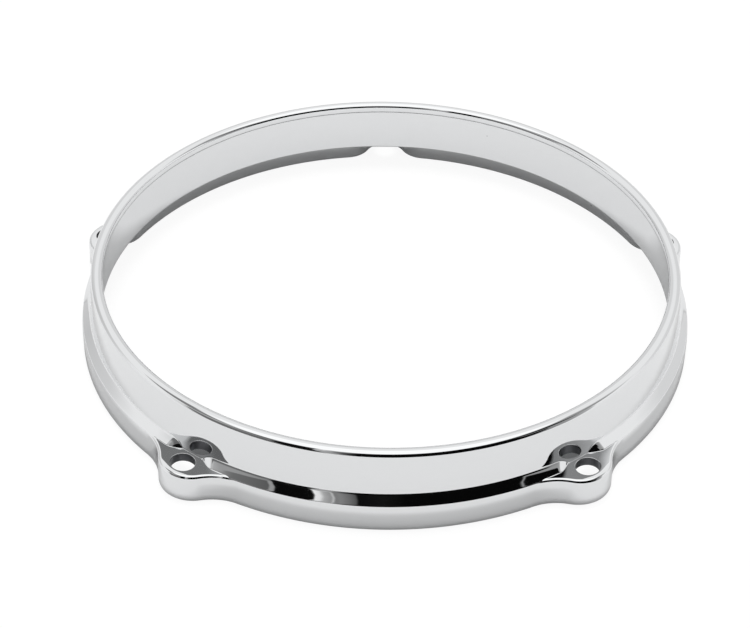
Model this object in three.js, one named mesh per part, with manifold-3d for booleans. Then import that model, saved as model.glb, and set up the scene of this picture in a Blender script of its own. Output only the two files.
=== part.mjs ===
// A die-cast drum hoop: one metal ring with five tension ears.
// Millimetres, +Z up. Z is the hoop's axis, and the side towards -Y is the front.
//
// From below, the ring has a skirt that closes round the drum head's own hoop, a sloping
// shoulder, an upright wall and a rolled crown. Each ear is a boss on the skirt, hollow from
// below, with a flat top, an oval hole for a tension rod, and a round clearance cut into the
// shoulder for the rod's washer. Heights are measured from the foot of the skirt until the
// finished casting is moved to its reference point.

import * as THREE from 'three';
import { mergeVertices } from 'three/addons/utils/BufferGeometryUtils.js';
import Module from 'manifold-3d';

// Skirt
const skirtRadius = 112;
const skirtThickness = 3.6;
const skirtHeight = 10.4;
const skirtDraft = 0.5;
const skirtEdgeRound = 0.6;

// Ledge: the step inside, which presses on the head
const ledgeWidth = 3.2;
const ledgeHeight = 7;

// Shoulder: it climbs from the skirt's upper edge to the foot of the wall
const shoulderRise = 2.4;
const shoulderFillet = 1.1;

// Wall, and the rolled crown on top of it
const hoopHeight = 29.1;
const wallThickness = 3;
const crownRound = 2;
const crownInset = 0.2;
const neckFillet = 0.8;

// Tension ears
const earCount = 5;
const earNoseRadius = 12.2;
const earNoseInset = 3.8;
const earRootFillet = 18.5;
const earEdgeRound = 1.2;
const earRootShare = 2 / 3;
const hollowNoseRadius = 8.2;
const hollowTipWall = 2.4;
const hollowRootFillet = 10.4;

// Rod hole, and the washer's clearance round it
const holeOffset = 1.6;
const holeAlong = 8.8;
const holeAcross = 7.9;
const holeChamfer = 0.5;
const washerClearanceRadius = 6.4;
const wallStandOff = 0.2;

// Cuts run this far past the face that they open
const overrun = 1;

// Facet counts
const ringSegments = 80;
const edgeSteps = 2;
const filletSteps = 3;
const crownOuterSteps = 4;
const crownInnerSteps = 7;
const noseSteps = 7;
const rootSteps = 4;
const earEdgeSteps = 2;
const holeSegments = 24;
const clearanceSegments = 32;

// Finish: bright chrome plating
const chromeColour = 0xe6e8ea;
const chromeRoughness = 0.05;
const chromeMetalness = 1;

const skirtInnerRadius = skirtRadius - skirtThickness;
const wallInnerRadius = skirtInnerRadius - ledgeWidth;
const wallFootRadius = wallInnerRadius + wallThickness;
const crownRadius = wallInnerRadius - crownInset;
const crownCentreHeight = hoopHeight - crownRound;
const shoulderTop = skirtHeight + shoulderRise;
const noseCentreRadius = skirtRadius - earNoseInset;
const earTipRadius = noseCentreRadius + earNoseRadius;
const hollowCentreRadius = earTipRadius - hollowTipWall - hollowNoseRadius;
const holeCircleRadius = skirtRadius + holeOffset;

// The reference point is on the axis, level with the top of the shoulder,
// which is where the ring's centre of mass lies.
const referenceHeight = shoulderTop;

const quarterTurn = Math.PI / 2;
const halfTurn = Math.PI;
const fullTurn = 2 * Math.PI;

const wasm = await Module();
wasm.setup();

function toSolid(geometry) {
  const bare = geometry.clone();
  bare.deleteAttribute('normal');
  bare.deleteAttribute('uv');
  const merged = mergeVertices(bare);
  return new wasm.Manifold(new wasm.Mesh({
    numProp: 3,
    vertProperties: new Float32Array(merged.attributes.position.array),
    triVerts: new Uint32Array(merged.index.array),
  }));
}

function toGeometry(solid) {
  const mesh = solid.getMesh();
  const geometry = new THREE.BufferGeometry();
  geometry.setAttribute('position', new THREE.Float32BufferAttribute(mesh.vertProperties, 3));
  geometry.setIndex(new THREE.Uint32BufferAttribute(mesh.triVerts, 1));
  geometry.computeVertexNormals();
  return geometry;
}

// Points along an arc, both ends included. Angles run from +X towards +Y.
function arc(centre, radius, start, end, steps) {
  const points = [];
  for (let i = 0; i <= steps; i += 1) {
    const angle = start + ((end - start) * i) / steps;
    points.push(new THREE.Vector2(
      centre.x + radius * Math.cos(angle),
      centre.y + radius * Math.sin(angle),
    ));
  }
  return points;
}

// The ring's section as (radius, height) points: out along the foot, up the outside,
// over the crown and down the inside
function ringSection() {
  const edgeCentre = new THREE.Vector2(
    skirtRadius - skirtDraft - skirtEdgeRound,
    skirtHeight - skirtEdgeRound,
  );
  const wallFoot = new THREE.Vector2(wallFootRadius, shoulderTop);
  const crownCentre = new THREE.Vector2(crownRadius, crownCentreHeight);

  // The shoulder's slope is a tangent of the skirt's rounded edge, and the wall one of the crown
  const toFoot = wallFoot.clone().sub(edgeCentre);
  const slopeNormal = toFoot.angle() - Math.acos(skirtEdgeRound / toFoot.length());
  const fromCrown = wallFoot.clone().sub(crownCentre);
  const wallNormal = fromCrown.angle() + Math.acos(crownRound / fromCrown.length()) - fullTurn;

  // Fillet in the corner between the slope and the wall
  const filletDirection = (slopeNormal + wallNormal) / 2;
  const filletReach = shoulderFillet / Math.cos((slopeNormal - wallNormal) / 2);
  const filletCentre = new THREE.Vector2(
    wallFoot.x + filletReach * Math.cos(filletDirection),
    wallFoot.y + filletReach * Math.sin(filletDirection),
  );

  // Fillet under the crown, where it overhangs the inside of the wall
  const neckAcross = crownRadius - (wallInnerRadius - neckFillet);
  const neckDown = Math.sqrt((crownRound + neckFillet) ** 2 - neckAcross ** 2);
  const neckCentre = new THREE.Vector2(wallInnerRadius - neckFillet, crownCentreHeight - neckDown);
  const neckDirection = Math.atan2(neckDown, neckAcross);

  return [
    new THREE.Vector2(skirtInnerRadius, 0),
    new THREE.Vector2(skirtRadius, 0),
    ...arc(edgeCentre, skirtEdgeRound, 0, slopeNormal, edgeSteps),
    ...arc(filletCentre, shoulderFillet, slopeNormal + halfTurn, wallNormal + halfTurn, filletSteps),
    ...arc(crownCentre, crownRound, wallNormal, quarterTurn, crownOuterSteps),
    ...arc(crownCentre, crownRound, quarterTurn, halfTurn + neckDirection, crownInnerSteps).slice(1),
    ...arc(neckCentre, neckFillet, neckDirection, 0, edgeSteps),
    new THREE.Vector2(wallInnerRadius, ledgeHeight),
    new THREE.Vector2(skirtInnerRadius, ledgeHeight),
  ];
}

// The section turned round the Z axis
function ring() {
  const section = ringSection();
  section.push(section[0].clone());
  const geometry = new THREE.LatheGeometry(section, ringSegments);
  geometry.rotateX(quarterTurn);
  return toSolid(geometry);
}

// The plan of an ear at the front, which is towards -Y: a round nose that runs into a circle
// round the axis through a fillet on each side, and back to the root's radius
function earPlan({ circleRadius, noseCentre, noseRadius, fillet, rootRadius }) {
  const filletFar = circleRadius + fillet;
  const spread = Math.acos(
    (noseCentre ** 2 + filletFar ** 2 - (noseRadius + fillet) ** 2)
    / (2 * noseCentre * filletFar),
  );
  const rootDirection = spread - quarterTurn;
  const nose = new THREE.Vector2(0, -noseCentre);
  const corner = new THREE.Vector2(
    filletFar * Math.cos(rootDirection),
    filletFar * Math.sin(rootDirection),
  );
  const meeting = corner.clone().sub(nose).angle() - fullTurn;
  const half = [
    ...arc(nose, noseRadius, -quarterTurn, meeting, noseSteps),
    ...arc(corner, fillet, meeting + halfTurn, rootDirection + halfTurn, rootSteps).slice(1),
    new THREE.Vector2(rootRadius * Math.cos(rootDirection), rootRadius * Math.sin(rootDirection)),
  ];
  const otherHalf = half.slice(1).reverse().map((point) => new THREE.Vector2(-point.x, point.y));
  return [...half, ...otherHalf];
}

// A solid through plans of equally many points at rising heights
function loft(levels) {
  const count = levels[0].plan.length;
  const positions = levels.flatMap(({ plan, height }) => plan.flatMap(({ x, y }) => [x, y, height]));
  const index = [];
  for (let level = 0; level + 1 < levels.length; level += 1) {
    for (let i = 0; i < count; i += 1) {
      const low = level * count + i;
      const next = level * count + ((i + 1) % count);
      index.push(low, next, next + count, low, next + count, low + count);
    }
  }
  const lastLevel = (levels.length - 1) * count;
  for (const [a, b, c] of THREE.ShapeUtils.triangulateShape(levels[0].plan, [])) {
    index.push(a, c, b);
  }
  for (const [a, b, c] of THREE.ShapeUtils.triangulateShape(levels.at(-1).plan, [])) {
    index.push(a + lastLevel, b + lastLevel, c + lastLevel);
  }
  const geometry = new THREE.BufferGeometry();
  geometry.setAttribute('position', new THREE.Float32BufferAttribute(positions, 3));
  geometry.setIndex(index);
  return geometry;
}

// The outer plan of an ear, drawn inside its face at the foot by the inset
function outerPlan(inset) {
  return earPlan({
    circleRadius: skirtRadius - inset,
    noseCentre: noseCentreRadius,
    noseRadius: earNoseRadius - inset,
    fillet: earRootFillet + inset,
    rootRadius: skirtRadius - earRootShare * skirtThickness,
  });
}

// An ear without its hollow: its side leans in as the skirt's does, up to its rounded edge
function earBody() {
  const edgeStart = skirtHeight - earEdgeRound;
  const edgeInset = (skirtDraft * edgeStart) / (skirtHeight - skirtEdgeRound);
  const levels = [{ plan: outerPlan(0), height: 0 }];
  for (let i = 0; i <= earEdgeSteps; i += 1) {
    const turn = (quarterTurn * i) / earEdgeSteps;
    levels.push({
      plan: outerPlan(edgeInset + earEdgeRound * (1 - Math.cos(turn))),
      height: edgeStart + earEdgeRound * Math.sin(turn),
    });
  }
  return toSolid(loft(levels));
}

// The hollow under an ear, open below and to the inside of the skirt. Its tip reaches past
// the rod hole.
function earHollow() {
  const plan = earPlan({
    circleRadius: skirtInnerRadius,
    noseCentre: hollowCentreRadius,
    noseRadius: hollowNoseRadius,
    fillet: hollowRootFillet,
    rootRadius: skirtInnerRadius - overrun,
  });
  const depth = ledgeHeight + overrun;
  const hollow = new THREE.ExtrudeGeometry(new THREE.Shape(plan), { depth, bevelEnabled: false });
  hollow.translate(0, 0, -overrun);
  return toSolid(hollow);
}

// An upright cylinder or cone between two heights
function upright(lowRadius, highRadius, low, high, segments) {
  const geometry = new THREE.CylinderGeometry(highRadius, lowRadius, high - low, segments);
  geometry.rotateX(quarterTurn);
  geometry.translate(0, 0, (low + high) / 2);
  return geometry;
}

// The rod's hole is oval, wider along the skirt, with its upper edge broken
function rodHole() {
  const half = holeAcross / 2;
  const chamferFoot = skirtHeight - holeChamfer;
  const bore = upright(half, half, -overrun, skirtHeight + overrun, holeSegments);
  const rim = upright(half, half + holeChamfer + overrun, chamferFoot, skirtHeight + overrun, holeSegments);
  for (const geometry of [bore, rim]) {
    geometry.scale(holeAlong / holeAcross, 1, 1);
    geometry.translate(0, -holeCircleRadius, 0);
  }
  return toSolid(bore).add(toSolid(rim));
}

// The washer's clearance cuts the shoulder down to the ear's top and stops short of the wall
function washerClearance() {
  const round = upright(
    washerClearanceRadius,
    washerClearanceRadius,
    skirtHeight,
    crownCentreHeight,
    clearanceSegments,
  );
  round.translate(0, -holeCircleRadius, 0);
  const keptRadius = wallFootRadius + wallStandOff;
  const kept = upright(keptRadius, keptRadius, 0, hoopHeight, ringSegments);
  return toSolid(round).subtract(toSolid(kept));
}

// A solid at the front, copied to every ear. No ear stands at the front itself: the two
// front ears are half a pitch to either side of it.
function atEachEar(solid) {
  const pitch = fullTurn / earCount;
  let all = null;
  for (let i = 0; i < earCount; i += 1) {
    const degrees = THREE.MathUtils.radToDeg(pitch * (i + 1 / 2));
    const copy = solid.rotate([0, 0, degrees]);
    all = all === null ? copy : all.add(copy);
  }
  return all;
}

function hoopCasting() {
  const casting = ring()
    .add(atEachEar(earBody()))
    .subtract(atEachEar(earHollow()))
    .subtract(atEachEar(washerClearance()))
    .subtract(atEachEar(rodHole()));
  const geometry = toGeometry(casting);
  geometry.translate(0, 0, -referenceHeight);
  const chrome = new THREE.MeshStandardMaterial({
    color: chromeColour,
    roughness: chromeRoughness,
    metalness: chromeMetalness,
  });
  const mesh = new THREE.Mesh(geometry, chrome);
  mesh.name = 'hoop_casting';
  return mesh;
}

const drumHoop = new THREE.Group();
drumHoop.add(hoopCasting());

export default drumHoop;
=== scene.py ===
"""A die-cast drum hoop in bright chrome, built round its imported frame."""

import math
from types import SimpleNamespace

import bmesh
import bpy
import numpy as np
from bpy.props import FloatProperty, FloatVectorProperty, IntProperty, PointerProperty, StringProperty
from mathutils import Matrix, Vector
from mathutils.geometry import delaunay_2d_cdt


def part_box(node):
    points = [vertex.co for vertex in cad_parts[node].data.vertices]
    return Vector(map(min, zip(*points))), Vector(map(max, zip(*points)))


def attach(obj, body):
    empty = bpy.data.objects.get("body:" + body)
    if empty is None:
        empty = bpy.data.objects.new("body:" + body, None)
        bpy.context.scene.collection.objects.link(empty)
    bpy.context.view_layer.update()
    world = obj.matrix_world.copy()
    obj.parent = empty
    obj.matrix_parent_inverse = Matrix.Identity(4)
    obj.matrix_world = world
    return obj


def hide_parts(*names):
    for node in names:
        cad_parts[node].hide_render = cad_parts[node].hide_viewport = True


bl_info = {
    "name": "Drum Hoop",
    "version": (1, 0, 0),
    "blender": (4, 5, 0),
    "location": "3D Viewport > Sidebar > Drum Hoop",
    "description": "Builds a chromed die-cast drum hoop with its tension ears, and a plain studio for it",
    "category": "Object",
}

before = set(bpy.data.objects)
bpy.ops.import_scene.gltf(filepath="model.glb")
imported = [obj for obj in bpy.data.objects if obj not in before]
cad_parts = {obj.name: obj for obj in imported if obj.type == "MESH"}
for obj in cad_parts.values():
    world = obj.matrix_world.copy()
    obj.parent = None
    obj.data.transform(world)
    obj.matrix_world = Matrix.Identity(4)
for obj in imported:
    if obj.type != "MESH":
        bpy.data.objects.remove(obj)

MM = 0.001
CAD_NODE = "hoop_casting"
CAD_LOW, CAD_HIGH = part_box(CAD_NODE)
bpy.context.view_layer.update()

# Neighbouring stretches of the mesh share their border points to within this distance
WELD = 0.002 * MM

# A flat face keeps a strip this wide along its rounded borders, so that it reflects flat
FLAT_BORDER = 0.05 * MM

# Points crowd in where a section bends: a turn of one radian counts as this much length
BEND_LENGTH = 2.5 * MM

# Steps of the mesh along the hoop: over an ear's nose, along its root up to the cusp of the
# flat top and on from there, and along the skirt. The hollow below has one root stretch.
NOSE_STEPS, CUSP_STEPS, ROOT_STEPS, SKIRT_STEPS = 14, 8, 9, 30
HOLLOW_NOSE_STEPS, HOLLOW_ROOT_STEPS, HOLLOW_SKIRT_STEPS = 12, 10, 24

# Steps over half an ear's flat top: in the middle of the clearance, over the part where the
# shoulder's end rolls down, which ends this many of its radii outside, and on to the cusp
FLAT_STEPS = (6, 40, 11)
ROLL_REACH = 1.2

# Steps of the section, up from the foot of the skirt, over the crown and down to the ledge
FOOT_STEPS, SIDE_STEPS, EDGE_STEPS = 3, 5, 8
SHOULDER_POINTS, FILLET_STEPS = 15, 6
OUTER_ROLL_STEPS, DOME_STEPS, INNER_ROLL_STEPS = 6, 11, 8
UNDER_STEPS, NECK_STEPS, LEDGE_EDGE_STEPS = 9, 6, 3

# Shares of the height at which the wall's outer and inner faces have points, close to both
# ends so that the faces reflect flat
WALL_SHARES = (0.015, 0.15, 0.4, 0.65, 0.85, 0.985)
INNER_SHARES = (0.02, 0.3, 0.7, 0.98)

# Steps round half a rod hole, over its upper rim and round small lower corners
BORE_STEPS, RIM_STEPS, CORNER_STEPS = 32, 5, 2

# Attribute that is 1 down in the rod holes
RECESS = "recess"

# Most of an ear top's width that the fillet above it and the border beside it may take
BLEND_SHARE, BORDER_SHARE = 0.35, 0.2

# Halvings of a search, rounds of a repeated guess, and points and turns that are tried
HALVINGS, ROUNDS = 50, 10
TRIES, FINE_TRIES = 500, 2000
TRIED_TURNS = np.radians(np.linspace(30, 90, 121))

# The paper lies this far below the hoop's foot, so that the two faces don't coincide
FLOOR_GAP = 0.02 * MM


def length(name, description, millimetres):
    """A size in metres, whose default is given in millimetres"""
    return FloatProperty(
        name=name, description=description, default=millimetres * MM,
        min=0, unit="LENGTH", precision=5,
    )


def angle(name, description, degrees):
    """An angle, whose default is given in degrees"""
    return FloatProperty(name=name, description=description, default=math.radians(degrees), subtype="ANGLE")


def fraction(name, description, default):
    """A number from 0 to 1"""
    return FloatProperty(name=name, description=description, default=default, min=0, max=1)


def amount(name, description, default):
    """A number of at least 0"""
    return FloatProperty(name=name, description=description, default=default, min=0)


def hex_colour(name, description, default):
    """A colour as an sRGB hex value"""
    return StringProperty(name=name, description=description, default=default)


class HoopSizes(bpy.types.PropertyGroup):
    """Sizes of the hoop. The heights are measured from the foot of its skirt."""

    skirt_radius: length("Skirt radius", "Outer radius of the skirt at its foot", -CAD_LOW.y / MM)
    skirt_wall: length("Skirt wall", "Thickness of the skirt at its foot", 3.6)
    skirt_height: length("Skirt height", "Height of the skirt's edge and of the ears' tops", 10.4)
    skirt_lean: length("Skirt lean", "How far the skirt's side leans in up to its edge", 0.25)
    skirt_curl: length("Skirt curl", "How far the upper part of the side curves in besides", 0.32)
    skirt_bend: length("Skirt bend", "Height from which the side curves in", 6.3)
    skirt_edge_round: length("Skirt edge", "Radius of the edge between skirt and shoulder", 0.6)
    foot_round: length("Foot edge", "Radius of the skirt's outer edge at the foot", 0.4)
    foot_inner_round: length("Inner foot edge", "Radius of the skirt's inner edge at the foot", 0.3)
    ledge_width: length("Ledge width", "Width of the ledge that presses on the head's hoop", 3.2)
    ledge_height: length("Ledge height", "Height of the ledge", 7.0)
    ledge_edge_round: length("Ledge edge", "Radius of the edge between ledge and inner wall", 0.35)
    shoulder_rise: length("Shoulder rise", "Height of the sloping shoulder", 2.2)
    shoulder_fillet: length("Shoulder fillet", "Radius in the corner between shoulder and wall", 1.4)
    shoulder_dish: length("Shoulder dish", "How far the shoulder curves up along its inner part", 0.12)
    shoulder_dish_width: length("Dish width", "Width of the part that curves up", 1.5)
    hoop_height: length("Hoop height", "Overall height", (CAD_HIGH.z - CAD_LOW.z) / MM)
    wall: length("Wall", "Thickness of the upright wall at its foot", 3.3)
    crown_dome: length("Crown top", "Radius of the crown's top", 2.7)
    crown_outer_round: length("Crown outside", "Radius of the crown's outer roll", 1.58)
    crown_inner_round: length("Crown inside", "Radius of the crown's inner roll", 1.15)
    crown_lower_round: length("Crown underside", "Radius of the crown's underside", 1.8)
    crown_outer_reach: length("Outer roll", "Middle of the outer roll, outside the inner wall", 0.3)
    crown_inner_reach: length("Inner roll", "Middle of the inner roll, inside the inner wall", 1.25)
    crown_inner_lift: length("Inner lift", "Middle of the inner roll, above the outer roll's", 0.26)
    crown_relief: length("Crown relief", "How far the buffed crown stays below that height", 0.15)
    crown_drop: length("Crown drop", "From the top down to the middle of the underside's arc", 2.64)
    neck_fillet: length("Neck fillet", "Radius under the crown's inner overhang", 0.6)
    ear_count: IntProperty(name="Ears", description="Number of tension ears", default=5, min=3)
    ear_tip_radius: length("Ear tip", "Distance from the axis to an ear's tip", CAD_HIGH.y / MM)
    ear_nose_radius: length("Ear nose", "Radius of an ear's round nose", 12.2)
    ear_root_fillet: length("Ear root", "Radius between an ear's nose and the skirt", 18.5)
    ear_edge_round: length("Ear edge", "Radius of an ear's upper edge at its nose", 1.3)
    ear_root_round: length("Ear root edge", "Radius of an ear's upper edge where it runs out", 1.05)
    hollow_nose_radius: length("Hollow nose", "Radius of the hollow under an ear", 8.2)
    hollow_tip_wall: length("Hollow tip wall", "Thickness at an ear's tip", 2.4)
    hollow_root_fillet: length("Hollow root", "Radius between the hollow and the skirt's inside", 10.4)
    hollow_corner_round: length("Hollow corner", "Radius in the corner under an ear's plate", 0.1)
    hole_offset: length("Hole offset", "How far a hole's middle lies outside the skirt", 1.6)
    hole_along: length("Hole along", "Rod hole's width along the skirt", 8.8)
    hole_across: length("Hole across", "Rod hole's width across the skirt", 7.9)
    hole_rim_round: length("Hole rim", "Radius of the rod hole's upper rim", 0.16)
    hole_foot_round: length("Hole foot", "Radius of the rod hole's lower rim", 0.08)
    clearance_radius: length("Washer clearance", "Radius cleared in the shoulder for a washer", 5.5)
    shoulder_end_round: length("Shoulder end", "Radius over which the shoulder's ends roll down", 5.0)
    base_fillet: length("Base fillet", "Reach of the fillet where shoulder and ear top meet", 0.22)
    seat_fillet: length("Seat fillet", "Radius where an ear's top meets the bare wall", 0.25)


class ChromeFinish(bpy.types.PropertyGroup):
    """Look of the chrome plating"""

    colour: hex_colour("Chrome", "Colour of the plating", "E4E5E6")
    roughness: fraction("Roughness", "Haze of the polish", 0.03)
    ripple_size: length("Ripple size", "Distance between the polish's slow ripples", 14)
    ripple_depth: length("Ripple depth", "Depth of the polish's slow ripples", 0.06)
    # Painted shade: the rod holes' colour is darkened, over their hazier unbuffed plating
    recess_shade_colour: hex_colour("Holes", "Colour of the thin plating in the rod holes", "77787B")
    recess_roughness: fraction("Holes' roughness", "Haze of the unpolished rod holes", 0.3)
    pit_spacing: length("Pit spacing", "Distance between the places where a pit may be", 6)
    pit_radius: length("Pit radius", "Radius of the casting's few small pits", 0.35)


class StudioSettings(bpy.types.PropertyGroup):
    """The plain studio round the hoop, and the camera"""

    floor_colour: hex_colour("Floor", "Colour of the paper floor", "FAFAFA")
    paper_white: amount("Paper white", "Strength of the paper's white to the lens", 1.03)
    shadow_share: fraction("Shadow", "How much of the floor's shading the lens sees", 0.12)
    # Painted shade: the mirrored paper's colour darkens along the hoop's foot, between the radii below
    painted_foot_shade: fraction("Foot shade", "Tone of the mirrored paper along the hoop's foot", 0.72)
    shade_inner: length("Shade inside", "Radius at which that shade begins", 95.5)
    shade_inner_full: length("Full inside", "Radius from which it is full", 99.5)
    shade_outer_full: length("Full outside", "Radius up to which it is full", 117)
    shade_outer: length("Shade outside", "Radius at which it has faded out", 124)
    floor_size: length("Floor size", "Side of the paper floor", 12000)
    floor_front: length("Floor front", "From the hoop's axis to the paper's front edge", 205)
    lamp_distance: length("Lamp distance", "From the hoop to the soft lamp above and behind it", 2000)
    lamp_elevation: angle("Lamp elevation", "Height of the lamp above the floor", 80)
    lamp_width: length("Lamp width", "Side of the square lamp", 500)
    lamp_power: amount("Lamp power", "Power of the lamp in watts", 18.6)
    room_light: amount("Room light", "Light of the white room itself", 0.56)
    overhead: amount("Overhead", "Brightness of the mirrored ceiling", 1.25)
    camera_distance: length("Camera distance", "From the lens to the middle of the hoop's foot", 633)
    camera_elevation: angle("Camera elevation", "Height of the lens above the floor", 38.51)
    camera_azimuth: angle("Camera azimuth", "Turn of the lens round the hoop, from its front", -0.665)
    camera_roll: angle("Camera roll", "Turn of the camera about its line of sight", 1.06)
    lens: amount("Lens", "Focal length in millimetres, with Blender's own sensor", 80.81)
    shift: FloatVectorProperty(
        name="Shift", description="Shift of the frame to the right and up",
        size=2, default=(-0.0135, 0.0014),
    )


def linear(hex_value):
    """Linear colour of an sRGB hex value, with full alpha"""
    channels = [int(hex_value[i:i + 2], 16) / 255 for i in (0, 2, 4)]
    return [
        level / 12.92 if level <= 0.04045 else ((level + 0.055) / 1.055) ** 2.4 for level in channels
    ] + [1.0]


def add_node(tree, kind, inputs=None, **settings):
    """A node with its settings. Its inputs are given as values, as other nodes' outputs or as
    other nodes, each of which stands for the first output that it has in use."""
    node = tree.nodes.new(kind)
    for name, value in settings.items():
        setattr(node, name, value)
    for name, value in (inputs or {}).items():
        if isinstance(value, bpy.types.Node):
            value = next(output for output in value.outputs if output.enabled)
        if isinstance(value, bpy.types.NodeSocket):
            tree.links.new(value, node.inputs[name])
        else:
            node.inputs[name].default_value = value
    return node


def empty_tree(owner):
    """The node tree of a material or world, put to use and emptied"""
    owner.use_nodes = True
    owner.node_tree.nodes.clear()
    return owner.node_tree


# Shape of the hoop

def direction(turn):
    """Unit vectors at the given angles"""
    return np.stack([np.cos(turn), np.sin(turn)], -1)


def norm(vectors):
    """Lengths of plane vectors"""
    return np.hypot(vectors[..., 0], vectors[..., 1])


def arc(centre, radius, start, end, steps):
    """Points of an arc, both ends included"""
    return centre + radius * direction(np.linspace(start, end, steps + 1))


def onward(start, end, steps):
    """Even steps from a start, which is left out, to an end"""
    return np.linspace(start, end, steps + 1)[1:]


def bisect(test, low, high):
    """Where a test that fails at the low value and holds at the high one changes between them"""
    for _ in range(HALVINGS):
        middle = (low + high) / 2
        if test(middle):
            high = middle
        else:
            low = middle
    return high


def meeting_below(first, first_reach, second, second_reach):
    """The lower one of the two points at given distances from two points"""
    between = second - first
    gap = norm(between)
    along = (first_reach ** 2 - second_reach ** 2 + gap ** 2) / (2 * gap)
    aside = math.sqrt(first_reach ** 2 - along ** 2)
    ahead = between / gap
    across = np.array([-ahead[1], ahead[0]]) * aside
    return first + along * ahead - (across if across[1] > 0 else -across)


def hoop_shape(size):
    """The measures that follow from the hoop's sizes"""
    shape = SimpleNamespace(size=size)
    shape.half_pitch = math.pi / size.ear_count
    shape.top = size.skirt_height
    shape.skirt_inner = size.skirt_radius - size.skirt_wall
    shape.wall_inner = shape.skirt_inner - size.ledge_width
    shape.hole_circle = size.skirt_radius + size.hole_offset

    # The skirt's side leans in by this angle
    shape.lean = math.atan(size.skirt_lean / (size.skirt_height - size.skirt_edge_round))

    # The shoulder's slope touches the skirt's rounded edge and ends at the foot of the wall
    edge_inset, _ = edge_middle(shape, size.skirt_edge_round)
    edge = np.array([size.skirt_radius - edge_inset, shape.top - size.skirt_edge_round])
    foot = np.array([shape.wall_inner + size.wall, size.skirt_height + size.shoulder_rise])
    reach = foot - edge
    shape.slope_turn = math.atan2(reach[1], reach[0]) - math.acos(size.skirt_edge_round / norm(reach))
    shape.slope_point = edge + size.skirt_edge_round * direction(shape.slope_turn)
    shape.slope = 1 / math.tan(shape.slope_turn)
    shape.flat_radius = shape.slope_point[0] - (shape.top - shape.slope_point[1]) / shape.slope

    # The crown's top is an arc that runs into a smaller roll on each side
    outer = np.array([shape.wall_inner + size.crown_outer_reach, 0])
    inner = np.array([shape.wall_inner - size.crown_inner_reach, size.crown_inner_lift])
    outer_gap = size.crown_dome - size.crown_outer_round
    inner_gap = size.crown_dome - size.crown_inner_round
    dome = meeting_below(outer, outer_gap, inner, inner_gap)
    rise = np.array([0, size.hoop_height - size.crown_relief - dome[1] - size.crown_dome])
    shape.crown_outer, shape.crown_inner, shape.crown_dome = outer + rise, inner + rise, dome + rise

    # The wall leans in until it touches the crown
    reach = foot - shape.crown_outer
    shape.wall_turn = math.atan2(reach[1], reach[0]) + math.acos(size.crown_outer_round / norm(reach))
    shape.wall_foot = foot
    shape.wall_top = shape.crown_outer + size.crown_outer_round * direction(shape.wall_turn)
    return shape


def slope_height(shape, radius):
    """Height of the shoulder's slope at a distance from the axis"""
    size = shape.size
    dished = np.clip(1 - (radius - shape.wall_foot[0]) / size.shoulder_dish_width, 0, None)
    straight = shape.slope_point[1] + (shape.slope_point[0] - radius) * shape.slope
    return straight + size.shoulder_dish * dished ** 2


def wall_radius(shape, height):
    """Distance of the wall's outer face from the axis at a height"""
    return shape.wall_foot[0] - (height - shape.wall_foot[1]) * math.tan(shape.wall_turn)


# Plans of the ear and its hollow, as half outlines from the middle of the ear, which stands
# at angle zero: a nose arc, a fillet and a circle round the axis

def half_plan(circle, nose_centre, nose_radius, fillet):
    """Centres and turning points of a half outline"""
    far = circle + fillet
    spread = math.acos(
        (nose_centre ** 2 + far ** 2 - (nose_radius + fillet) ** 2) / (2 * nose_centre * far)
    )
    corner = far * direction(spread)
    meeting = math.atan2(corner[1], corner[0] - nose_centre)
    return SimpleNamespace(
        circle=circle, nose=np.array([nose_centre, 0]), nose_radius=nose_radius,
        corner=corner, fillet=fillet, meeting=meeting, spread=spread,
    )


def plan_points(plan, nose_turns, fillet_turns, circle_turns):
    """Points of a half outline and the normals there, at the given directions of the normal"""
    nose, fillet, circle = direction(nose_turns), direction(fillet_turns), direction(circle_turns)
    points = [plan.nose + plan.nose_radius * nose, plan.corner - plan.fillet * fillet, plan.circle * circle]
    return np.concatenate(points), np.concatenate([nose, fillet, circle])


def side_inset(shape, height):
    """Inset of the outer side at a height, and the angle at which it leans in there"""
    size = shape.size
    reach = shape.top - size.skirt_bend
    above = max(height - size.skirt_bend, 0) / reach
    inset = math.tan(shape.lean) * height + size.skirt_curl * above ** 2
    return inset, math.atan(math.tan(shape.lean) + 2 * size.skirt_curl * above / reach)


def edge_middle(shape, radius):
    """Inset of the middle of a rounded upper edge, and the angle at which it leaves the side"""
    turn = shape.lean
    for _ in range(ROUNDS):
        inset, turn = side_inset(shape, shape.top - radius * (1 - math.sin(turn)))
    return inset + radius * math.cos(turn), turn


def edge_curve(shape, radius, turns):
    """Insets and heights of a rounded upper edge that touches the side and the ears' level"""
    inset, _ = edge_middle(shape, radius)
    return inset - radius * np.cos(turns), shape.top - radius + radius * np.sin(turns)


def above_slope(shape, point, normal, radius, turns):
    """How far a rounded edge stands above the shoulder's slope"""
    inset, height = edge_curve(shape, radius, turns)
    return height - slope_height(shape, norm(point - np.multiply.outer(inset, normal)))


def ear_edge_radius(size, point):
    """Radius of an ear's upper edge, which sharpens from the nose to the root"""
    share = min(abs(point[1]) / size.ear_nose_radius, 1)
    return size.ear_edge_round + (size.ear_root_round - size.ear_edge_round) * share ** 2


def edge_at(shape, point, normal):
    """Radius of the upper edge at a point of the outline, and the angle at which it ends:
    along the skirt it runs into the shoulder's slope, and round an ear into the flat top"""
    size = shape.size

    def sunk(radius):
        return above_slope(shape, point, normal, radius, TRIED_TURNS).max() <= 0

    small, large = size.skirt_edge_round, ear_edge_radius(size, point)
    if sunk(small):
        radius = small
    elif sunk(large):
        radius = bisect(sunk, small, large)
    else:
        radius = large
    gaps = above_slope(shape, point, normal, radius, TRIED_TURNS)
    if gaps[-1] >= 0:
        return radius, math.pi / 2
    if gaps.max() <= WELD / 4:
        return radius, TRIED_TURNS[np.argmax(gaps)]
    last = np.nonzero(gaps > 0)[0][-1]

    def under(turn):
        return above_slope(shape, point, normal, radius, turn) <= 0

    return radius, bisect(under, TRIED_TURNS[last], TRIED_TURNS[last + 1])


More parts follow.
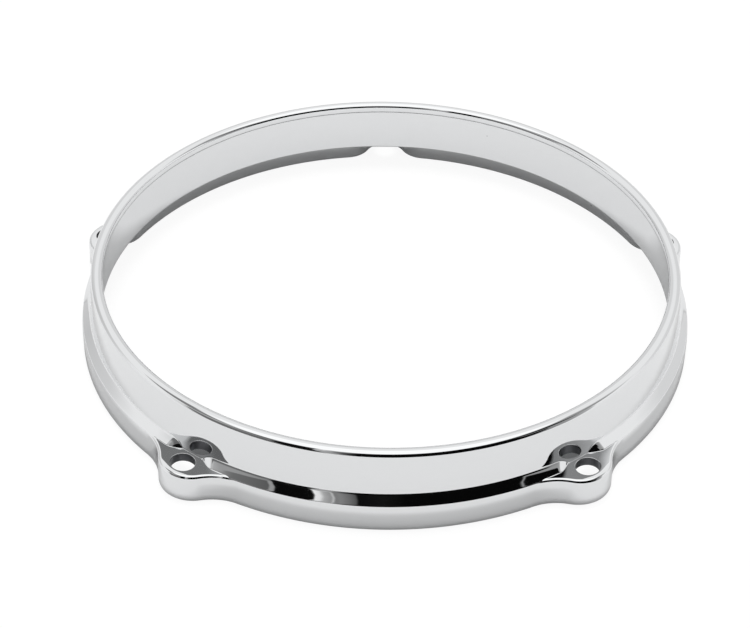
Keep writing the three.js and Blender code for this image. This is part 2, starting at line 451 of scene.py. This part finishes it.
def lift(points, normals, insets, heights):
    """Places at insets and heights for each point of an outline: a row for each, or one for all"""
    flat = points[:, None, :] - insets[..., None] * normals[:, None, :]
    return np.concatenate([flat, np.broadcast_to(heights[..., None], flat.shape[:2] + (1,))], -1)


# The mesh is made of strips, whose rows are stations along the hoop and whose columns follow
# its section, and of flat patches between them

def outer_side(shape):
    """Strip up the outside: foot edge, leaning side and upper edge, for half an ear's share"""
    size = shape.size
    nose_centre = size.ear_tip_radius - size.ear_nose_radius
    plan = half_plan(size.skirt_radius, nose_centre, size.ear_nose_radius, size.ear_root_fillet)

    def no_flat(turn):
        point, normal = plan_points(plan, [], [turn], [])
        radius = ear_edge_radius(size, point[0])
        return above_slope(shape, point[0], normal[0], radius, math.pi / 2) <= 0

    cusp = bisect(no_flat, plan.meeting, plan.spread)
    root_turns = [onward(plan.meeting, cusp, CUSP_STEPS), onward(cusp, plan.spread, ROOT_STEPS)]
    points, normals = plan_points(
        plan,
        np.linspace(0, plan.meeting, NOSE_STEPS + 1),
        np.concatenate(root_turns),
        onward(plan.spread, shape.half_pitch, SKIRT_STEPS),
    )
    edges = [edge_at(shape, point, normal) for point, normal in zip(points, normals)]
    cusp_station = NOSE_STEPS + CUSP_STEPS
    edges[cusp_station] = (ear_edge_radius(size, points[cusp_station]), math.pi / 2)

    lean_tan, lean_cos = math.tan(shape.lean), math.cos(shape.lean)
    foot_turns = np.linspace(-math.pi / 2, shape.lean, FOOT_STEPS + 1)
    foot_inset = lean_tan * size.foot_round + size.foot_round / lean_cos
    side_foot = size.foot_round * (1 + math.sin(shape.lean)) + 2 * FLAT_BORDER
    insets, heights = [], []
    for radius, end in edges:
        _, start = edge_middle(shape, radius)
        edge_inset, edge_height = edge_curve(shape, radius, np.linspace(start, end, EDGE_STEPS + 1))
        side_top = edge_height[0] - 2 * FLAT_BORDER
        side = [side_foot, *np.linspace(size.skirt_bend, side_top, SIDE_STEPS + 1)]
        insets.append(np.concatenate([
            [foot_inset + FLAT_BORDER], foot_inset - size.foot_round * np.cos(foot_turns),
            [side_inset(shape, height)[0] for height in side], edge_inset,
        ]))
        heights.append(np.concatenate([
            [0], size.foot_round * (1 + np.sin(foot_turns)), side, edge_height,
        ]))
    return lift(points, normals, np.array(insets), np.array(heights)), cusp_station


def shoulder_field(shape, places, blend):
    """Height of the upper faces between skirt and wall: the ears' level, and the shoulder's
    slope, whose ends roll down towards the clearance round each rod hole"""
    size = shape.size
    slope = slope_height(shape, norm(places))
    from_hole = norm(places - (shape.hole_circle, 0)) - size.clearance_radius
    sunk = np.clip(1 - from_hole / size.shoulder_end_round, 0, 1)
    rolled = slope - size.shoulder_end_round * (1 - np.sqrt(1 - sunk ** 2))
    rolled = np.where(from_hole > 0, rolled, -math.inf)
    if blend <= 0:
        return np.maximum(rolled, shape.top)
    overlap = np.clip(1 - np.abs(rolled - shape.top) / blend, 0, 1)
    return np.maximum(rolled, shape.top) + overlap ** 2 * blend / 4


def spread_evenly(curve, count, bend_length):
    """Points along a curve at even steps of its length and, by a weight, of its bends"""
    steps = np.diff(curve, axis=0)
    headings = np.unwrap(np.arctan2(steps[:, 1], steps[:, 0]))
    bends = np.abs(np.diff(headings, prepend=headings[0]))
    measure = np.concatenate([[0], np.cumsum(norm(steps) + bend_length * bends)])
    wanted = np.linspace(0, measure[-1], count)
    return np.stack([np.interp(wanted, measure, values) for values in curve.T], -1)


def wall_fillet(shape, curve, radius):
    """Fillet between a curve, which runs in towards the axis, and the wall: the number of the
    curve's points before it, and the fillet's own points"""
    outward = direction(shape.wall_turn)

    def centre_at(height):
        return (wall_radius(shape, height), height) + radius * outward

    def clear(height):
        return norm(curve - centre_at(height)).min() >= radius

    centre = centre_at(bisect(clear, shape.top - radius, shape.wall_top[1]))
    away = curve - centre
    nearest = np.argmin(norm(away))
    start = math.atan2(away[nearest, 1], away[nearest, 0]) % (2 * math.pi)
    return nearest + 1, arc(centre, radius, start, shape.wall_turn + math.pi, FILLET_STEPS)


def shoulder_sections(shape, side, cusp_station):
    """Sections from the upper edge, or from an ear's flat top, in over the shoulder to the wall"""
    size = shape.size
    rims = side[:, -1]
    rim_radii = norm(rims)
    rim_turns = np.arctan2(rims[:, 1], rims[:, 0])

    # Stations over the ear's flat top, closest where the shoulder's end rolls down
    hole = shape.hole_circle
    near = (size.clearance_radius - size.shoulder_end_round) / hole
    far = (size.clearance_radius + ROLL_REACH * size.shoulder_end_round) / hole
    ends = (0, near, far, rim_turns[cusp_station])
    flat_turns = np.concatenate([
        np.linspace(start, end, steps, endpoint=False)
        for start, end, steps in zip(ends, ends[1:], FLAT_STEPS)
    ])
    turns = np.concatenate([flat_turns, rim_turns[cusp_station:]])
    inner = shape.wall_foot[0]
    level_wall = wall_radius(shape, shape.top)
    sections = []
    for number, turn in enumerate(turns):
        ray = direction(turn)
        from_hole = norm(level_wall * ray - (hole, 0)) - size.clearance_radius
        share = min(max(from_hole / size.shoulder_end_round, 0), 1)
        share = share * share * (3 - 2 * share)
        fillet = size.seat_fillet + (size.shoulder_fillet - size.seat_fillet) * share
        if number < len(flat_turns):
            rim = np.interp(turn, rim_turns[:cusp_station + 1], rim_radii[:cusp_station + 1])
            radii = np.linspace(shape.flat_radius, inner, FINE_TRIES)
            raised = shoulder_field(shape, radii[:, None] * ray, 0) > shape.top
            base = radii[np.argmax(raised)] if raised.any() else inner
            room = rim - base
            blend = min(size.base_fillet, BLEND_SHARE * room)
            start = max(base + blend, level_wall + fillet + FLAT_BORDER)
            border = min(FLAT_BORDER, BORDER_SHARE * room)
            radii = np.linspace(start, inner, TRIES)
            heights = shoulder_field(shape, radii[:, None] * ray, blend * shape.slope)
        else:
            start, blend, border = rim_radii[cusp_station + number - len(flat_turns)], 0, 0
            radii = np.linspace(start, inner, TRIES)
            heights = slope_height(shape, radii)
        curve = np.stack([radii, heights], -1)
        kept, rounded = wall_fillet(shape, curve, fillet)
        bend_length = BEND_LENGTH * blend / size.base_fillet
        lower = spread_evenly(curve[:kept], SHOULDER_POINTS, bend_length)
        lower[-1] = rounded[0]
        sections.append(np.concatenate([[[start + border, lower[0, 1]]], lower, rounded[1:]]))
    return turns, sections


def upper_section(shape):
    """The part of the section that is the same all round: crown, neck, inner wall and ledge"""
    size = shape.size
    rolls = shape.crown_outer - shape.crown_dome, shape.crown_inner - shape.crown_dome
    outer_turn, inner_turn = (math.atan2(roll[1], roll[0]) for roll in rolls)
    inner_side = shape.crown_inner[0] - size.crown_inner_round
    under = (inner_side + size.crown_lower_round, size.hoop_height - size.crown_drop)
    neck_radius = shape.wall_inner - size.neck_fillet
    across = under[0] - neck_radius
    down = math.sqrt((size.crown_lower_round + size.neck_fillet) ** 2 - across ** 2)
    neck_turn = math.atan2(down, across)
    neck = (neck_radius, under[1] - down)
    edge = (shape.wall_inner + size.ledge_edge_round, size.ledge_height + size.ledge_edge_round)
    return np.concatenate([
        arc(shape.crown_outer, size.crown_outer_round, shape.wall_turn, outer_turn, OUTER_ROLL_STEPS),
        arc(shape.crown_dome, size.crown_dome, outer_turn, inner_turn, DOME_STEPS)[1:],
        arc(shape.crown_inner, size.crown_inner_round, inner_turn, math.pi, INNER_ROLL_STEPS)[1:],
        arc(under, size.crown_lower_round, math.pi, math.pi + neck_turn, UNDER_STEPS),
        arc(neck, size.neck_fillet, neck_turn, 0, NECK_STEPS)[1:],
        [(shape.wall_inner, neck[1] + (edge[1] - neck[1]) * share) for share in INNER_SHARES],
        arc(edge, size.ledge_edge_round, math.pi, 1.5 * math.pi, LEDGE_EDGE_STEPS),
        [(edge[0] + FLAT_BORDER, size.ledge_height)],
    ])


def upper_ring(shape, side, cusp_station):
    """Strip from the upper edge over shoulder, wall and crown, and down the inside"""
    turns, sections = shoulder_sections(shape, side, cusp_station)
    top = upper_section(shape)
    shares = np.array(WALL_SHARES)[:, None]
    rows = []
    for turn, section in zip(turns, sections):
        wall = section[-1] + (shape.wall_top - section[-1]) * shares
        radii, heights = np.concatenate([section, wall, top]).T
        rows.append(np.stack([radii * math.cos(turn), radii * math.sin(turn), heights], -1))
    return np.array(rows)


def rounded_end(level, radius, steps, border, way):
    """Insets and heights of an upright face's rounded end, which flares where the radius is
    negative. The way is 1 at the upper end and -1 at the lower one."""
    turns = np.linspace(math.pi / 2, 0, steps + 1)
    insets = [radius + math.copysign(border, radius), *(radius * (1 - np.cos(turns))), 0]
    drops = np.array([0, *(abs(radius) * (1 - np.sin(turns))), abs(radius) + FLAT_BORDER])
    return np.stack([insets, level - way * drops], -1)[::way]


def hollow_side(shape):
    """Strip down the skirt's inside and round the hollow under an ear"""
    size = shape.size
    nose_centre = size.ear_tip_radius - size.hollow_tip_wall - size.hollow_nose_radius
    plan = half_plan(shape.skirt_inner, nose_centre, size.hollow_nose_radius, size.hollow_root_fillet)
    points, normals = plan_points(
        plan,
        np.linspace(0, plan.meeting, HOLLOW_NOSE_STEPS + 1),
        onward(plan.meeting, plan.spread, HOLLOW_ROOT_STEPS),
        onward(plan.spread, shape.half_pitch, HOLLOW_SKIRT_STEPS),
    )
    section = np.concatenate([
        rounded_end(size.ledge_height, size.hollow_corner_round, CORNER_STEPS, FLAT_BORDER / 2, 1),
        rounded_end(0, -size.foot_inner_round, FOOT_STEPS, FLAT_BORDER, -1),
    ])
    return lift(points, normals, *section.T)


def rod_bore(shape):
    """Strip down a rod hole, from its rounded upper rim to its lower rim"""
    size = shape.size
    turns = np.linspace(0, math.pi, BORE_STEPS + 1)
    across, along = size.hole_across / 2, size.hole_along / 2
    points = (shape.hole_circle, 0) + direction(turns) * (across, along)
    normals = direction(turns) / (across, along)
    normals /= norm(normals)[:, None]
    section = np.concatenate([
        rounded_end(shape.top, -size.hole_rim_round, RIM_STEPS, FLAT_BORDER, 1),
        rounded_end(size.ledge_height, -size.hole_foot_round, CORNER_STEPS, FLAT_BORDER / 4, -1),
    ])
    return lift(points, normals, *section.T)


def add_strip(mesh, rows):
    """Quads between the rows of a strip, whose vertices are returned"""
    vertices = [[mesh.verts.new(place) for place in row] for row in rows]
    for this, following in zip(vertices, vertices[1:]):
        for corners in zip(this, following, following[1:], this[1:]):
            mesh.faces.new(corners)
    return vertices


def add_patch(mesh, loop, upward):
    """A flat patch inside a closed loop of places at one height"""
    inside_only, nearness = 1, 1e-7
    flat = [Vector(place[:2]) / MM for place in loop]
    numbers = list(range(len(flat)))
    points, _, faces, *_ = delaunay_2d_cdt(flat, [], [numbers], inside_only, nearness)
    vertices = [mesh.verts.new((point.x * MM, point.y * MM, loop[0][2])) for point in points]
    for face in faces:
        corners = [vertices[i] for i in face]
        start, second, third = (points[i] for i in face[:3])
        turns_left = (second - start).cross(third - start) > 0
        mesh.faces.new(corners if turns_left == upward else corners[::-1])


def half_sector(shape):
    """The casting from the middle of an ear to half way to the next one"""
    side, cusp_station = outer_side(shape)
    ring = upper_ring(shape, side, cusp_station)
    hollow = hollow_side(shape)
    bore = rod_bore(shape)
    mesh = bmesh.new()
    recess = mesh.verts.layers.float.new(RECESS)
    for strip in (side, ring, hollow):
        add_strip(mesh, strip)
    for station in add_strip(mesh, bore):
        for vertex in station[RIM_STEPS + 1:]:
            vertex[recess] = 1.0

    flat_rim = side[:cusp_station + 1, -1]
    seat = ring[:np.argmax(norm(ring[:, 0] - flat_rim[-1]) < WELD) + 1, 0]
    add_patch(mesh, [*flat_rim, *seat[-2::-1], *bore[::-1, 0]], True)
    add_patch(mesh, [*hollow[:, 0], *ring[::-1, -1], *bore[::-1, -1]], False)
    add_patch(mesh, [*side[:, 0], *hollow[::-1, -1]], False)
    return mesh


def ear_sector(shape):
    """Mesh of one ear and the ring on both sides of it, with the ear at angle zero"""
    whole = half_sector(shape)
    bmesh.ops.remove_doubles(whole, verts=whole.verts, dist=WELD)
    data = bpy.data.meshes.new("ear_sector")
    mirrored = whole.copy()
    mirrored.transform(Matrix.Scale(-1, 4, (0, 1, 0)))
    bmesh.ops.reverse_faces(mirrored, faces=mirrored.faces)
    mirrored.to_mesh(data)
    mirrored.free()
    whole.from_mesh(data)
    bmesh.ops.remove_doubles(whole, verts=whole.verts, dist=WELD)
    bmesh.ops.translate(whole, verts=whole.verts, vec=(0, 0, CAD_LOW.z))
    whole.to_mesh(data)
    whole.free()
    return data


def ring_of_ears_tree():
    """Geometry nodes that set copies of an ear's sector in a circle and weld them to a ring"""
    tree = bpy.data.node_groups.new("ring_of_ears", "GeometryNodeTree")
    kinds = {
        "Sector": "Geometry", "Ears": "Int", "First ear": "Float", "Weld distance": "Float",
        "Finish": "Material",
    }
    for name, kind in kinds.items():
        tree.interface.new_socket(name, in_out="INPUT", socket_type="NodeSocket" + kind)
    tree.interface.new_socket("Ring", in_out="OUTPUT", socket_type="NodeSocketGeometry")
    given = tree.nodes.new("NodeGroupInput").outputs
    index = add_node(tree, "GeometryNodeInputIndex")
    pitch = add_node(tree, "ShaderNodeMath", {0: 2 * math.pi, 1: given["Ears"]}, operation="DIVIDE")
    turn = add_node(tree, "ShaderNodeMath", {
        0: index, 1: pitch, 2: given["First ear"],
    }, operation="MULTIPLY_ADD")
    rotation = add_node(tree, "ShaderNodeCombineXYZ", {"Z": turn})
    points = add_node(tree, "GeometryNodePoints", {"Count": given["Ears"]})
    copies = add_node(tree, "GeometryNodeInstanceOnPoints", {
        "Points": points, "Instance": given["Sector"], "Rotation": rotation,
    })
    real = add_node(tree, "GeometryNodeRealizeInstances", {"Geometry": copies})
    welded = add_node(tree, "GeometryNodeMergeByDistance", {
        "Geometry": real, "Distance": given["Weld distance"],
    })
    smooth = add_node(tree, "GeometryNodeSetShadeSmooth", {"Geometry": welded})
    finished = add_node(tree, "GeometryNodeSetMaterial", {
        "Geometry": smooth, "Material": given["Finish"],
    })
    add_node(tree, "NodeGroupOutput", {"Ring": finished})
    return tree


def set_inputs(modifier, values):
    """Sets a geometry nodes modifier's inputs by the identifiers of their sockets"""
    for item in modifier.node_group.interface.items_tree:
        if item.in_out == "INPUT" and item.name in values:
            modifier[item.identifier] = values[item.name]


def made_plain(context, piece):
    """Turns a piece with live modifiers into a plain mesh object of the same name"""
    evaluated = piece.evaluated_get(context.evaluated_depsgraph_get())
    data = bpy.data.meshes.new_from_object(evaluated)
    piece.modifiers.clear()
    piece.data = data
    data.name = piece.name


def enclosed_volume(data):
    """Volume inside a mesh, which is negative where its faces point inwards"""
    mesh = bmesh.new()
    mesh.from_mesh(data)
    faults = sum(not edge.is_manifold or not edge.is_contiguous for edge in mesh.edges)
    volume = mesh.calc_volume(signed=True)
    mesh.free()
    if faults:
        raise RuntimeError(f"{data.name} has {faults} open or turned edges")
    return volume


# Finishes

# Share of the places for a pit that have one, and share of a pit's radius that is fully dull
PIT_SHARE, PIT_CORE_SHARE = 0.1, 0.4


def chrome_plate(finish):
    """Bright decorative chrome on polished zinc: an almost clear, slightly cool mirror with
    the slow ripples that buffing leaves. Down in the rod holes, which aren't buffed, the thin
    plating is hazy, and painted shade makes its colour dark. A few pinhole pits of the casting
    show as specks."""
    material = bpy.data.materials.new("bright_chrome_plate")
    tree = empty_tree(material)
    place = add_node(tree, "ShaderNodeTexCoord").outputs["Object"]
    recess = add_node(tree, "ShaderNodeAttribute", attribute_name=RECESS).outputs["Fac"]
    cells = add_node(tree, "ShaderNodeTexVoronoi", {"Vector": place, "Scale": 1 / finish.pit_spacing})
    pit_edge = finish.pit_radius / finish.pit_spacing
    pit = add_node(tree, "ShaderNodeMapRange", {
        "Value": cells.outputs["Distance"], "From Min": PIT_CORE_SHARE * pit_edge, "From Max": pit_edge,
        "To Min": 1.0, "To Max": 0.0,
    })
    chance = add_node(tree, "ShaderNodeSeparateColor", {"Color": cells.outputs["Color"]})
    chosen = add_node(tree, "ShaderNodeMath", {
        0: chance.outputs["Red"], 1: 1 - PIT_SHARE,
    }, operation="GREATER_THAN")
    speck = add_node(tree, "ShaderNodeMath", {0: pit, 1: chosen}, operation="MULTIPLY")
    # In the rod holes the colour is darkened by painted shade and the haze rises; the pits are real specks
    dull_and_shaded = add_node(tree, "ShaderNodeMath", {0: recess, 1: speck}, operation="MAXIMUM")
    colour = add_node(tree, "ShaderNodeMix", {
        "Factor": dull_and_shaded, "A": linear(finish.colour), "B": linear(finish.recess_shade_colour),
    }, data_type="RGBA")
    haze = add_node(tree, "ShaderNodeMix", {
        "Factor": dull_and_shaded, "A": finish.roughness, "B": finish.recess_roughness,
    })
    ripple = add_node(tree, "ShaderNodeTexNoise", {
        "Vector": place, "Scale": 1 / finish.ripple_size, "Detail": 1.0, "Roughness": 0.3,
    })
    bump = add_node(tree, "ShaderNodeBump", {
        "Height": ripple.outputs["Fac"], "Distance": finish.ripple_depth, "Strength": 1.0,
    })
    plating = add_node(tree, "ShaderNodeBsdfPrincipled", {
        "Base Color": colour, "Metallic": 1.0, "Roughness": haze, "Normal": bump,
    })
    add_node(tree, "ShaderNodeOutputMaterial", {"Surface": plating})
    return material


def paper_floor(studio):
    """Matt white paper. It shows almost pure white to the lens and keeps the hoop's soft
    shadow, and the plating mirrors it as it is lit, with a painted shade that makes it a
    little darker along the hoop's foot."""
    material = bpy.data.materials.new("white_paper")
    tree = empty_tree(material)
    ray = add_node(tree, "ShaderNodeLightPath")
    place = add_node(tree, "ShaderNodeTexCoord").outputs["Object"]
    level = add_node(tree, "ShaderNodeVectorMath", {0: place, 1: (1, 1, 0)}, operation="MULTIPLY")
    reach = add_node(tree, "ShaderNodeVectorMath", {0: level}, operation="LENGTH")
    inside, outside = (
        add_node(tree, "ShaderNodeMapRange", {
            "Value": reach, "From Min": none, "From Max": full,
        }, interpolation_type="SMOOTHSTEP")
        for none, full in (
            (studio.shade_inner, studio.shade_inner_full), (studio.shade_outer, studio.shade_outer_full),
        )
    )
    # Painted shade: near the hoop's foot, inside and outside the ring, the mirrored paper's colour is
    # darkened
    near = add_node(tree, "ShaderNodeMath", {0: inside, 1: outside}, operation="MULTIPLY")
    colour = linear(studio.floor_colour)
    painted_shade_colour = add_node(tree, "ShaderNodeMix", {
        "Factor": near, "A": colour, "B": [studio.painted_foot_shade * channel for channel in colour],
    }, data_type="RGBA")
    mirrored = add_node(tree, "ShaderNodeBsdfDiffuse", {"Color": painted_shade_colour})
    paper = add_node(tree, "ShaderNodeBsdfDiffuse", {"Color": colour})
    white = add_node(tree, "ShaderNodeEmission", {
        "Color": linear("FFFFFF"), "Strength": studio.paper_white,
    })
    shown = add_node(tree, "ShaderNodeMixShader", {0: studio.shadow_share, 1: white, 2: paper})
    choice = add_node(tree, "ShaderNodeMixShader", {
        0: ray.outputs["Is Camera Ray"], 1: mirrored, 2: shown,
    })
    add_node(tree, "ShaderNodeOutputMaterial", {"Surface": choice})
    return material


# What the plating mirrors of the room's unlit side, in front of the hoop: greys, as two hex
# digits, at azimuths in degrees left and right of the front, in three bands of height. From
# the left they are a grey wall, a lit gap, a black cloth, a light panel, a wide black cloth
# with a thin bright streak high up, and the wall again.
ROOM_LOW = (
    {-95: "FF", -90: "F0", -84: "E2", -81: "78", -57: "74", -48: "6A", -45: "7C", -43: "0C",
     -28: "12", -27: "B6", -20: "A0", -16: "50", -12: "0A", 0: "0A"},
    {0: "0A", 65: "08", 67: "94", 80: "A8", 87: "C0", 90: "FF", 95: "FF"},
)
ROOM_MIDDLE = (
    {-95: "FF", -88: "FF", -82: "C8", -72: "C8", -66: "A8", -52: "9C", -46: "90", -43.9: "88",
     -43.3: "10", -28.6: "18", -28: "BE", -25.2: "A0", -23.6: "D0", -20.5: "C0", -19.7: "6C",
     -17: "7C", -13: "64", -11: "14", 0: "0A"},
    {0: "16", 8: "0A", 54.4: "08", 55: "9A", 72: "A4", 80: "B0", 87: "D0", 90: "FF", 95: "FF"},
)
ROOM_HIGH = (
    {-125: "FF", -116: "8A", -80: "8C", -74: "BA", -67: "9C", -61: "76", -50: "68", -46.2: "62",
     -45.7: "A4", -44: "A0", -43.5: "0A", -28.4: "0C", -27.8: "FF", -25.5: "F4", -24: "B8",
     -21.2: "9C", -20.4: "D4", -19.7: "82", -17.5: "8C", -13.5: "70", -11.4: "5A", -10.6: "0E",
     0: "16"},
    {0: "16", 9: "08", 55.2: "08", 55.5: "A0", 56: "A0", 56.3: "08", 82: "0A", 84: "A0",
     102: "9C", 120: "FF"},
)

# Greys of the horizon all round, low down
HORIZON = {
    -180: "E6", -150: "EA", -128: "D4", -110: "E2", -98: "FF", 98: "FF", 110: "EA", 150: "EA", 180: "E6",
}

# Heights in degrees over which the low band gives way to the middle one and that to the high
# one, the horizon's greys fade, the unlit side ends and the bright ceiling begins
MIDDLE_FROM, HIGH_FROM = (33, 38), (42.1, 42.9)
HORIZON_TOP, ROOM_TOP, CEILING_FROM = (28, 36), (58, 61), (58, 66)

# Azimuths in degrees between which the room's left part gives way to the right one
FRONT = (-1, 1)

# How much the room's upright edges spread with height, and how much its level ones rise
EDGE_SPREAD, EDGE_RISE = 0.29, 0.03


def studio_world(studio):
    """White surroundings. In mirror reflections they also have the room's unlit side and a
    bright ceiling."""
    world = bpy.data.worlds.new("studio")
    tree = empty_tree(world)
    ray = add_node(tree, "ShaderNodeLightPath")
    way = add_node(tree, "ShaderNodeTexCoord").outputs["Generated"]
    parts = add_node(tree, "ShaderNodeSeparateXYZ", {"Vector": way})
    height = add_node(tree, "ShaderNodeMath", {0: parts.outputs["Z"]}, operation="ARCSINE")
    front = add_node(tree, "ShaderNodeMath", {0: parts.outputs["Y"], 1: -1.0}, operation="MULTIPLY")
    azimuth = add_node(tree, "ShaderNodeMath", {0: parts.outputs["X"], 1: front}, operation="ARCTAN2")

    def step(value, reach, first=0.0, last=1.0):
        low, high = reach
        return add_node(tree, "ShaderNodeMapRange", {
            "Value": value, "From Min": math.radians(low), "From Max": math.radians(high),
            "To Min": first, "To Max": last,
        }, interpolation_type="SMOOTHSTEP")

    def mixed(share, first, second, blend="MIX"):
        return add_node(tree, "ShaderNodeMix", {
            "Factor": share, "A": first, "B": second,
        }, data_type="RGBA", blend_type=blend)

    def greys(around, stops):
        first, last = min(stops), max(stops)
        places = [(degrees - first) / (last - first) for degrees in stops]
        share = add_node(tree, "ShaderNodeMapRange", {
            "Value": around, "From Min": math.radians(first), "From Max": math.radians(last),
        })
        ramp = add_node(tree, "ShaderNodeValToRGB", {"Fac": share})
        ends = ramp.color_ramp.elements
        for place in places[1:-1]:
            ends.new(place)
        for end, place, grey in zip(ends, places, stops.values()):
            end.position = place
            end.color = linear(3 * grey)
        return ramp

    # The room's upright edges spread apart with height, and its level edges rise to the left
    spread = add_node(tree, "ShaderNodeMath", {
        0: height, 1: EDGE_SPREAD, 2: 1 - EDGE_SPREAD * math.pi / 4,
    }, operation="MULTIPLY_ADD")
    upright = add_node(tree, "ShaderNodeMath", {0: azimuth, 1: spread}, operation="DIVIDE")
    level = add_node(tree, "ShaderNodeMath", {
        0: azimuth, 1: EDGE_RISE, 2: height,
    }, operation="MULTIPLY_ADD")
    side = step(azimuth, FRONT)
    low, middle, high = (
        mixed(side, greys(upright, left), greys(upright, right))
        for left, right in (ROOM_LOW, ROOM_MIDDLE, ROOM_HIGH)
    )
    room = mixed(step(height, MIDDLE_FROM), low, middle)
    room = mixed(step(level, HIGH_FROM), room, high)
    white = linear("FFFFFF")
    horizon = mixed(step(height, HORIZON_TOP), greys(azimuth, HORIZON), white)
    room = mixed(1.0, room, horizon, blend="MULTIPLY")
    mirrored = ray.outputs["Is Glossy Ray"]
    unlit = add_node(tree, "ShaderNodeMath", {
        0: step(height, ROOM_TOP, 1.0, 0.0), 1: mirrored,
    }, operation="MULTIPLY")
    colour = mixed(unlit, white, room)
    ceiling = step(height, CEILING_FROM, 1.0, studio.overhead)
    lit = add_node(tree, "ShaderNodeMix", {"Factor": mirrored, "A": studio.room_light, "B": ceiling})
    shown = add_node(tree, "ShaderNodeMix", {"Factor": ray.outputs["Is Camera Ray"], "A": lit, "B": 1.0})
    light = add_node(tree, "ShaderNodeBackground", {"Color": colour, "Strength": shown})
    add_node(tree, "ShaderNodeOutputWorld", {"Surface": light})
    return world


# Operators

class DRUMHOOP_OT_casting(bpy.types.Operator):
    """Build the hoop's casting from its sizes and plate it"""

    bl_idname = "drumhoop.casting"
    bl_label = "Build casting"

    def execute(self, context):
        size = context.scene.drumhoop_sizes
        shape = hoop_shape(size)
        casting = bpy.data.objects.new("hoop", ear_sector(shape))
        context.collection.objects.link(casting)
        nodes = casting.modifiers.new("ring_of_ears", "NODES")
        nodes.node_group = ring_of_ears_tree()
        set_inputs(nodes, {
            "Ears": size.ear_count,
            "First ear": shape.half_pitch - math.pi / 2,
            "Weld distance": WELD,
            "Finish": chrome_plate(context.scene.drumhoop_finish),
        })
        context.view_layer.update()
        made_plain(context, casting)
        if enclosed_volume(casting.data) <= 0:
            raise RuntimeError("the casting's faces point inwards")
        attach(casting, "root")
        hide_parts(CAD_NODE)
        return {"FINISHED"}


class DRUMHOOP_OT_studio(bpy.types.Operator):
    """Set the hoop in a plain white studio, with the camera in front of it"""

    bl_idname = "drumhoop.studio"
    bl_label = "Build studio"

    def execute(self, context):
        studio = context.scene.drumhoop_studio
        half, front = studio.floor_size / 2, studio.floor_front
        mesh = bpy.data.meshes.new("paper_floor")
        corners = [(-half, -front), (half, -front), (half, half), (-half, half)]
        mesh.from_pydata([(x, y, CAD_LOW.z - FLOOR_GAP) for x, y in corners], [], [(0, 1, 2, 3)])
        floor = bpy.data.objects.new("paper_floor", mesh)
        floor.data.materials.append(paper_floor(studio))
        context.collection.objects.link(floor)

        data = bpy.data.lights.new("soft_lamp", "AREA")
        data.size = studio.lamp_width
        data.energy = studio.lamp_power
        lamp = bpy.data.objects.new("soft_lamp", data)
        lamp.visible_glossy = lamp.visible_camera = False
        context.collection.objects.link(lamp)
        aim = Matrix.Rotation(studio.lamp_elevation - math.pi / 2, 4, "X")
        lamp.matrix_world = aim @ Matrix.Translation((0, 0, studio.lamp_distance))

        data = bpy.data.cameras.new("camera")
        data.lens = studio.lens
        data.shift_x, data.shift_y = studio.shift
        camera = bpy.data.objects.new("camera", data)
        context.collection.objects.link(camera)
        turn = Matrix.Rotation(studio.camera_azimuth, 4, "Z")
        raised = Matrix.Rotation(math.pi / 2 - studio.camera_elevation, 4, "X")
        back = Matrix.Translation((0, 0, studio.camera_distance))
        roll = Matrix.Rotation(studio.camera_roll, 4, "Z")
        camera.matrix_world = Matrix.Translation((0, 0, CAD_LOW.z)) @ turn @ raised @ back @ roll
        context.scene.camera = camera
        context.scene.world = studio_world(studio)
        context.scene.view_settings.view_transform = "Standard"
        return {"FINISHED"}


class DRUMHOOP_PT_sidebar(bpy.types.Panel):
    """Lists the hoop's steps in the sidebar"""

    bl_idname = "DRUMHOOP_PT_sidebar"
    bl_label = "Drum Hoop"
    bl_space_type = "VIEW_3D"
    bl_region_type = "UI"
    bl_category = "Drum Hoop"

    def draw(self, context):
        for operator in OPERATORS:
            self.layout.operator(operator.bl_idname)


OPERATORS = (DRUMHOOP_OT_casting, DRUMHOOP_OT_studio)
GROUPS = {
    "drumhoop_sizes": HoopSizes,
    "drumhoop_finish": ChromeFinish,
    "drumhoop_studio": StudioSettings,
}


def register():
    for group in GROUPS.values():
        bpy.utils.register_class(group)
    for name, group in GROUPS.items():
        setattr(bpy.types.Scene, name, PointerProperty(type=group))
    for operator in OPERATORS:
        bpy.utils.register_class(operator)
    bpy.utils.register_class(DRUMHOOP_PT_sidebar)


def unregister():
    bpy.utils.unregister_class(DRUMHOOP_PT_sidebar)
    for operator in reversed(OPERATORS):
        bpy.utils.unregister_class(operator)
    for name, group in GROUPS.items():
        delattr(bpy.types.Scene, name)
        bpy.utils.unregister_class(group)


def main():
    register()
    bpy.ops.drumhoop.casting()
    bpy.ops.drumhoop.studio()


if __name__ == "__main__":
    main()
